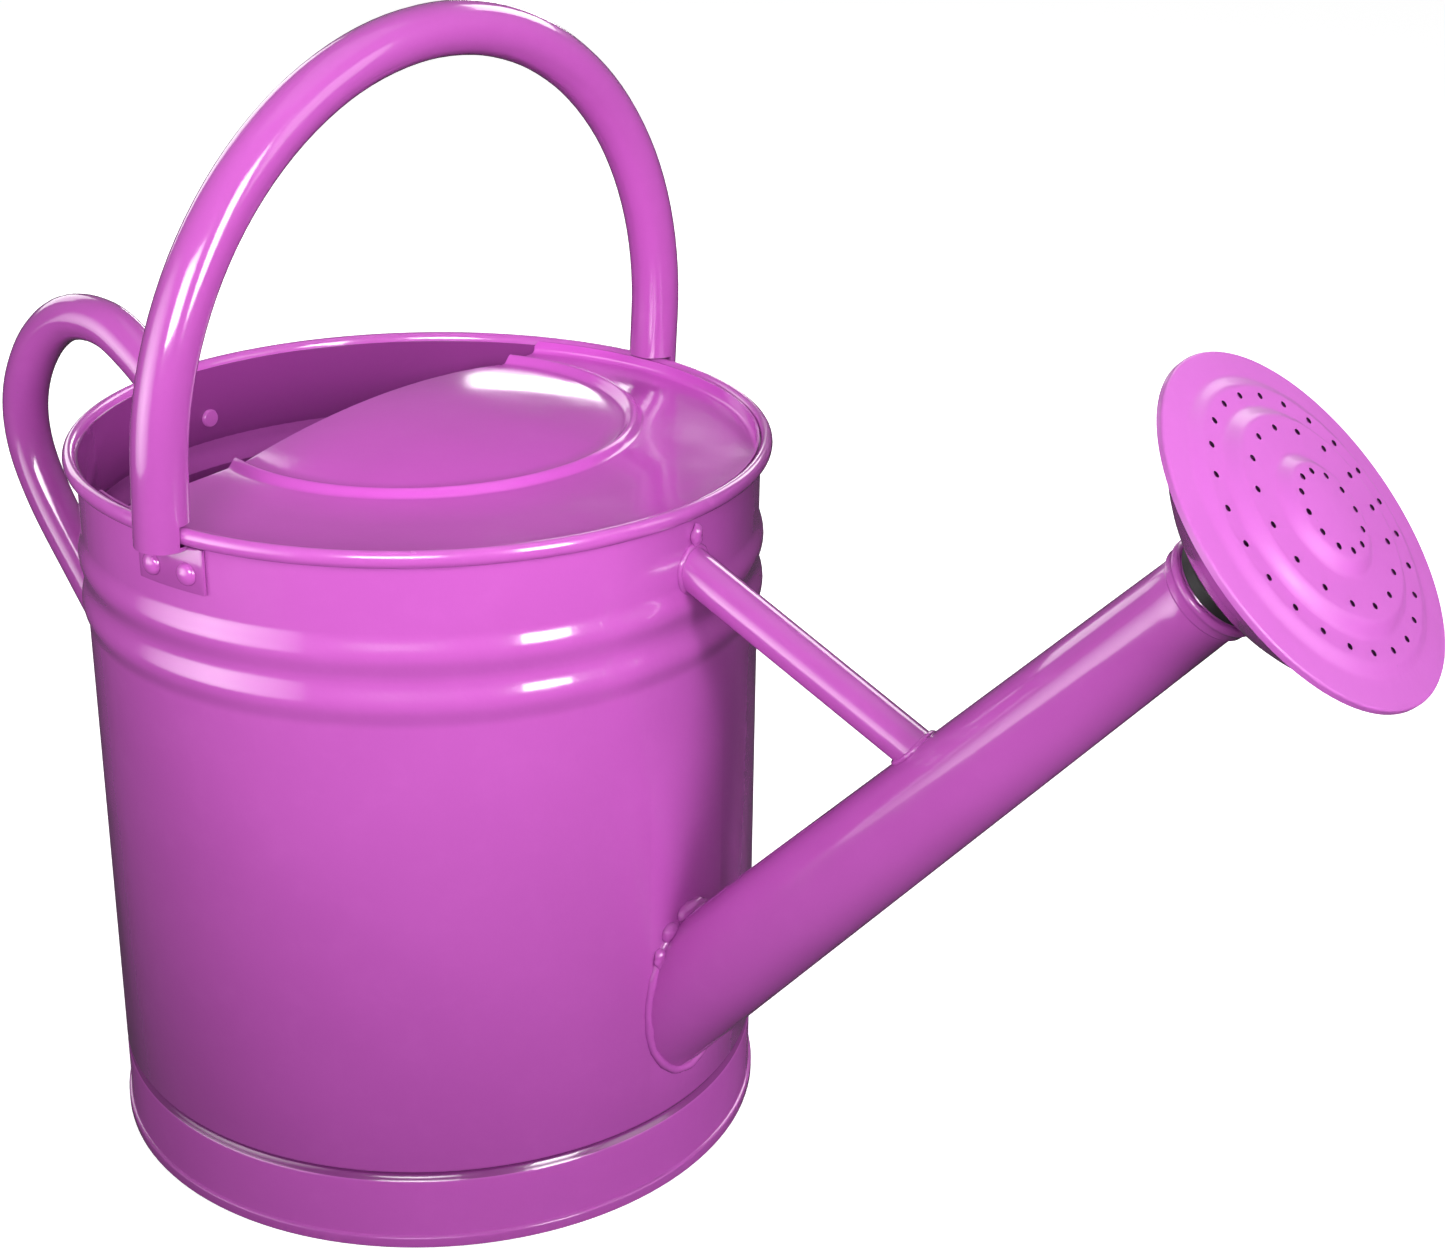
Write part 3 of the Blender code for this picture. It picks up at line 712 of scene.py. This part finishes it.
handle = {"tube": 6.75 * mm, "wall": 1 * mm, "reach": 91.7 * mm, "centre": 206.8 * mm, "forward": 3.3 * mm,
          "lean": 3.0, "turn": 1.5, "shelf": 189.2 * mm, "halfCut": 0.6 * mm,
          "tab": 1 * mm, "tabHalf": 11 * mm, "tabHeight": 11 * mm, "ledge": 1.5 * mm, "gap": 0.2 * mm}
rearHandle = {"upper": 184.5 * mm, "lower": 66 * mm, "reach": 16.5 * mm,
              "route": ((92, 180.5), (110, 194.5), (124, 201), (140, 199.5), (153.3, 189.5), (161.8, 174),
                        (162.6, 158), (155.6, 141), (141.5, 121), (126, 100.5), (111, 81.5), (94, 60))}
slew = math.radians(handle["turn"]) * handle["reach"]     # the handle's plane is a little out of square
nearTurn = (handle["forward"] - slew) / wall - math.pi / 2
farTurn = math.pi / 2 - (handle["forward"] + slew) / wall


def rimCutter(name, high):
    # barrel and rim outline, which a handle's end stays clear of
    under = rimTop - barrel["rimHeight"] - handle["gap"]
    inner = wall + handle["gap"]
    bead = wall + barrel["rimWidth"] + 0.1 * mm
    outline = [(inner, 0.005), (inner, under), (bead, under), (bead, high)]
    piece = turnedPiece(name, outline, barrel["facets"], False, True)
    bpy.ops.object.mode_set(mode="OBJECT")
    return piece


def tabPlate(name, azimuth, shelf):
    # the flattened end, a curved plate against the wall with eased edges
    inner = wall + handle["gap"]
    halfTurn = handle["tabHalf"] / wall
    deselectAll()
    middle = (inner + handle["tab"] / 2, 0, shelf - handle["tabHeight"] / 2)
    bpy.ops.mesh.primitive_plane_add(size=handle["tab"], location=middle, rotation=(math.pi / 2, 0, 0))
    piece = editNew(name)
    tall = (handle["tabHeight"] + 0.6 * mm) / handle["tab"]
    bpy.ops.transform.resize(value=(1, 1, tall), center_override=middle)
    bpy.ops.mesh.spin(steps=16, angle=2 * halfTurn, center=(0, 0, 0), axis=(0, 0, 1))
    tidyMesh()
    bpy.ops.object.mode_set(mode="OBJECT")
    useModifier(piece, "BEVEL", width=0.35 * mm, segments=2, limit_method="ANGLE",
                angle_limit=math.radians(50))
    centre = sum((vert.co for vert in piece.data.vertices), Vector()) / len(piece.data.vertices)
    placePiece(piece, rotation=(0, 0, azimuth - math.atan2(centre.y, centre.x)))
    return piece


def makeLedge(name, azimuth, shelf, reach):
    # the tube's outer half closed down onto the tab, rounded at its lip
    size = flat = handle["tube"] - 0.05 * mm - handle["ledge"]
    deselectAll()
    low = shelf - handle["tab"] * 0.4
    bpy.ops.mesh.primitive_circle_add(vertices=48, radius=flat, location=(reach, 0, low), fill_type="NGON")
    piece = editNew(name)
    for index in range(1, 6):
        turn = math.pi / 2 * index / 5
        grow = (flat + handle["ledge"] * math.sin(turn)) / size
        rise = handle["ledge"] * (math.cos(math.pi / 2 * (index - 1) / 5) - math.cos(turn))
        extrudeStep((0, 0, rise), (grow, grow, 1), (reach, 0, 0))
        size *= grow
    extrudeStep((0, 0, 0.6 * mm))
    tidyMesh()
    bpy.ops.object.mode_set(mode="OBJECT")
    placePiece(piece, rotation=(0, 0, azimuth))
    return piece


def finishHandle(name, piece, cutters, extras, replaced):
    useModifier(piece, "SOLIDIFY", thickness=handle["wall"], offset=-1)
    for cutter in cutters:
        cutAway(piece, cutter)
    piece = joinPieces(name, [piece, *extras])
    return finishPiece(piece, "can", shadedHandleEnamel, replaced)


def leaning(y, z):
    lean = math.tan(math.radians(handle["lean"])) * (z - handle["shelf"])
    return Vector((handle["forward"] + slew * y / handle["reach"] + lean, y, z))


def makeTopHandle():
    reach, centre, shelf = handle["reach"], handle["centre"], handle["shelf"]
    route = [leaning(-reach, shelf), leaning(-reach, rimTop + 2 * mm), leaning(-reach, centre - 3 * mm)]
    for index in range(65):
        angle = math.pi * index / 64
        route.append(leaning(-reach * math.cos(angle), centre + reach * math.sin(angle)))
    route += [leaning(reach, centre - 3 * mm), leaning(reach, rimTop + 2 * mm), leaning(reach, shelf)]
    piece = pathPiece("topHandleTube", route, handle["tube"], 11)
    extras = []
    for azimuth in (nearTurn, farTurn):
        ledge = makeLedge("topLedge", azimuth, shelf, reach)
        cutAway(ledge, rimCutter("ledgeCut", rimTop + handle["halfCut"]))
        extras += [tabPlate("topTab", azimuth, shelf), ledge]
    return finishHandle("topHandleTube", piece, [rimCutter("topCut", rimTop + handle["halfCut"])], extras,
                        ["top_handle"])


def boxCutter(name, low, high):
    deselectAll()
    middle = (Vector(low) + Vector(high)) / 2
    bpy.ops.mesh.primitive_cube_add(size=1, location=middle)
    piece = editNew(name)
    bpy.ops.transform.resize(value=Vector(high) - Vector(low), center_override=middle)
    bpy.ops.object.mode_set(mode="OBJECT")
    return piece


def makeRearHandle():
    points = [Vector((-distance * mm, 0, height * mm)) for distance, height in rearHandle["route"]]
    piece = pathPiece("rearHandleTube", smoothRoute(points, 7), handle["tube"], 11)
    upper, lower = rearHandle["upper"], rearHandle["lower"]
    cutters = [boxCutter("rearUnder", (-wall - 22 * mm, -0.1, upper - 22 * mm), (0, 0.1, upper)),
               boxCutter("rearBelow", (-0.2, -0.1, 0), (0, 0.1, lower)), rimCutter("rearCut", 0.4)]
    extras = []
    for shelf in (upper, lower):
        extras += [tabPlate("rearTab", math.pi, shelf), makeShelf("rearLedge", shelf)]
    return finishHandle("rearHandleTube", piece, cutters, extras, ["rear_handle"])


def makeShelf(name, shelf):
    # an oval ledge that closes the slanted tube's end
    deselectAll()
    half = rearHandle["reach"] / 2
    narrow = handle["tube"] - 0.7 * mm
    middle = (-wall - half, 0, shelf - 0.7 * mm)
    bpy.ops.mesh.primitive_circle_add(vertices=48, radius=narrow, location=middle, fill_type="NGON")
    piece = editNew(name)
    bpy.ops.transform.resize(value=((half - 0.6 * mm) / narrow, 1, 1), center_override=middle)
    extrudeStep((0, 0, 0.5 * mm), (1.08, 1.08, 1), middle)
    extrudeStep((0, 0, 0.6 * mm), (1.02, 1.02, 1), middle)
    extrudeStep((0, 0, 0.4 * mm))
    tidyMesh()
    bpy.ops.object.mode_set(mode="OBJECT")
    cutAway(piece, rimCutter("shelfCut", 0.4))
    return piece


rivet = {"spacing": 11.6 * mm, "drop": 6.6 * mm, "shank": 1.6 * mm, "head": 2.9 * mm, "dome": 1.7 * mm,
         "shop": 2.6 * mm, "shopDepth": 1.0 * mm}


def makeRivets():
    head = 1.3 * mm
    back = -0.7 * mm
    outline = [(0.5 * mm, back - rivet["shopDepth"]), (rivet["shop"] - 0.3 * mm, back - rivet["shopDepth"]),
               (rivet["shop"], back - 0.7 * mm), (rivet["shop"], back), (rivet["shank"], back),
               (rivet["shank"], head), (rivet["head"], head)]
    for index in range(1, 8):
        angle = math.pi / 2 * index / 8
        outline.append((rivet["head"] * math.cos(angle), head + rivet["dome"] * math.sin(angle)))
    outline.append((0.25 * mm, head + rivet["dome"]))
    first = turnedPiece("rivetPattern", outline, 32, False, True)
    bpy.ops.object.mode_set(mode="OBJECT")
    halfTurn = rivet["spacing"] / 2 / wall
    number = 0
    rows = (("top_handle", nearTurn, handle["shelf"], 1),
            ("top_handle", farTurn, handle["shelf"], 3),
            ("rear_handle", math.pi, rearHandle["upper"], 1),
            ("rear_handle", math.pi, rearHandle["lower"], 3))
    for group, azimuth, shelf, start in rows:
        for side in (-1, 1):
            turn = azimuth + side * halfTurn
            outward = Vector((math.cos(turn), math.sin(turn), 0))
            onlySelect(first)
            bpy.ops.object.duplicate()
            copy = bpy.context.object
            number += 1
            copy.name = f"rivet{number}"
            place = outward * wall + Vector((0, 0, shelf - rivet["drop"]))
            placePiece(copy, place, outward.to_track_quat("Z", "Y").to_euler())
            node = f"{group}_rivet_{start + (side + 1) // 2}"
            finishPiece(copy, "can", rivetEnamel, [node], 45)
    bpy.data.objects.remove(first)


rose = {"radius": 42.75 * mm, "stand": 24.6 * mm, "droop": 3.6, "slant": 2.5, "sheet": 0.4 * mm,
        "lip": 1.6 * mm, "hole": 0.8 * mm,
        "rings": ((12, 9.4 * mm), (16, 21.2 * mm), (24, 30.6 * mm)),
        "steps": ((13.0 * mm, 6.3 * mm), (26.0 * mm, 4.2 * mm), (34.5 * mm, 1.9 * mm)), "run": 4.6 * mm,
        "neck": 6.14 * mm, "bow": 3.5 * mm, "sealFlange": 3.0 * mm, "sealRadius": 11.05 * mm}


def roseProfile(lift):
    # pressed face: the middle swells a little, and each terrace falls over an eased step
    points = [(1.5 * mm, lift + rose["steps"][0][1] + 0.5 * mm)]
    levels = [height for radius, height in rose["steps"][1:]] + [0.4 * mm]
    for (radius, height), below in zip(rose["steps"], levels):
        for index in range(9):
            t = index / 8
            fall = (1 - math.cos(math.pi * t)) / 2
            points.append((radius + rose["run"] * (t - 0.5), lift + height + (below - height) * fall))
    return points


def onRose(piece):
    # the rose sits a little askew in its soft seal
    placePiece(piece, (0, 0, rose["stand"]))
    placePiece(piece, rotation=(math.radians(-rose["slant"]), math.radians(rose["droop"]), 0))
    return onSpout(piece, spout["length"])


def makeRoseFace():
    edge = rose["radius"]
    outline = roseProfile(0) + arc((edge - 0.6 * mm, -0.6 * mm), 0.6 * mm, 90, 0, 4)
    outline += [(edge, -rose["lip"]), (edge - rose["sheet"], -rose["lip"]), (edge - rose["sheet"], -0.9 * mm)]
    outline += roseProfile(-rose["sheet"])[::-1]
    piece = turnedPiece("roseFacePlate", outline, 112, False, True)
    bpy.ops.object.mode_set(mode="OBJECT")
    drills = []
    for count, radius in rose["rings"]:
        for index in range(count):
            angle = 2 * math.pi * (index + 0.5) / count
            spot = (radius * math.cos(angle), radius * math.sin(angle), 2 * mm)
            deselectAll()
            bpy.ops.mesh.primitive_cylinder_add(vertices=12, radius=rose["hole"], depth=20 * mm,
                                                location=spot)
            drills.append(bpy.context.object)
    drill = joinPieces("roseDrills", drills)
    placePiece(drill, drill.location.copy())
    cutAway(piece, drill)
    bore = piece.data.attributes.new("bore", "FLOAT", "FACE")       # painted shade: the hole walls are coloured near black
    for face in piece.data.polygons:
        within = face.center.xy.length < rose["radius"] - 6 * mm
        bore.data[face.index].value = abs(face.normal.z) < 0.3 and within
    return finishPiece(onRose(piece), "rose", litRoseEnamel, ["rose_face"], 28)


def makeRoseCone():
    start = rose["sealFlange"] + 0.6 * mm - rose["stand"]
    hub = rose["neck"] + 0.2 * mm
    edge = rose["radius"] - rose["sheet"] - 0.2 * mm
    outline = [(hub, start), (hub + 1.2 * mm, start)]
    for index in range(1, 12):
        t = index / 12                                  # bowed between the hub and the edge
        outline.append((hub + 1.2 * mm + (edge - 2.8 * mm - hub) * t,
                        start + (-1.5 * mm - start) * t - rose["bow"] * math.sin(math.pi * t)))
    outline += [(edge - 1.2 * mm, -1.5 * mm), (edge, -1.5 * mm), (edge, -0.9 * mm),
                (edge - 2.2 * mm, -0.9 * mm), (hub + 1.0 * mm, start + 0.9 * mm), (hub, start + 0.9 * mm)]
    piece = turnedPiece("roseCone", outline, 96)
    bpy.ops.object.mode_set(mode="OBJECT")
    return finishPiece(onRose(piece), "rose", spoutEnamel, ["rose_cone"])


def makeRoseNeck():
    end = rose["sealFlange"] + 1.8 * mm - rose["stand"]
    start = -rose["stand"] - 15 * mm
    inner, outer = rose["neck"] - 0.7 * mm, rose["neck"]
    outline = [(inner, start + 0.2 * mm), (inner + 0.2 * mm, start), (outer - 0.25 * mm, start),
               (outer, start + 0.3 * mm), (outer, end), (outer + 1.4 * mm, end),
               (outer + 1.4 * mm, end + 0.8 * mm), (inner, end + 0.8 * mm)]
    piece = turnedPiece("roseNeck", outline, 64)
    bpy.ops.object.mode_set(mode="OBJECT")
    return finishPiece(onRose(piece), "rose", spoutEnamel, ["rose_neck"])


def makeSeal():
    inner = rose["neck"] + 0.15 * mm
    outer = spoutRadius(spout["length"]) - 0.75 * mm
    flange, high = rose["sealRadius"], rose["sealFlange"] + 0.3 * mm
    outline = [(inner, -13 * mm), (outer - 0.5 * mm, -13 * mm), (outer, -12 * mm)]
    for index in range(3):                              # three soft sealing ribs
        outline += [(outer - 0.25 * mm, (-11 + 3 * index) * mm), (outer, (-10 + 3 * index) * mm)]
    outline += [(outer, 0.2 * mm), (flange - 0.3 * mm, 0.25 * mm), (flange, 0.6 * mm),
                (flange, high - 0.8 * mm)]
    outline += arc((flange - 0.8 * mm, high - 0.8 * mm), 0.8 * mm, 20, 90, 4) + [(inner, high)]
    piece = turnedPiece("roseSeal", outline, 64)
    bpy.ops.object.mode_set(mode="OBJECT")
    onSpout(piece, spout["length"])
    return finishPiece(piece, "rose_mount", sealRubber, ["rose_seal"])


def makeFloor():
    deselectAll()
    bpy.ops.mesh.primitive_plane_add(size=8, location=(0, 0, -0.0003))
    floor = editNew("paleFloor")
    bpy.ops.object.mode_set(mode="OBJECT")
    material = bpy.data.materials.new("palePaper")
    material.use_nodes = True
    shader = material.node_tree.nodes["Principled BSDF"]
    shader.inputs["Base Color"].default_value = (*[studio["floorTone"]] * 3, 1)
    shader.inputs["Roughness"].default_value = 0.8
    shader.inputs["Emission Color"].default_value = (1, 1, 1, 1)
    shader.inputs["Emission Strength"].default_value = studio["floorLift"]
    floor.visible_diffuse = False       # it takes shadows and throws no light back on the can
    floor.visible_glossy = False
    floor.data.materials.append(material)


makeBarrel()
makePan()
print("barrel and pan are turned")
makeCover()
print("cover is pressed")
makeTopHandle()
makeRearHandle()
makeRivets()
print("handles are riveted on")
makeSpout()
makeFerrule()
makeBrace()
makeBraze()
print("spout is brazed on")
makeRoseFace()
makeRoseCone()
makeRoseNeck()
makeSeal()
print("rose is fitted")
makeFloor()
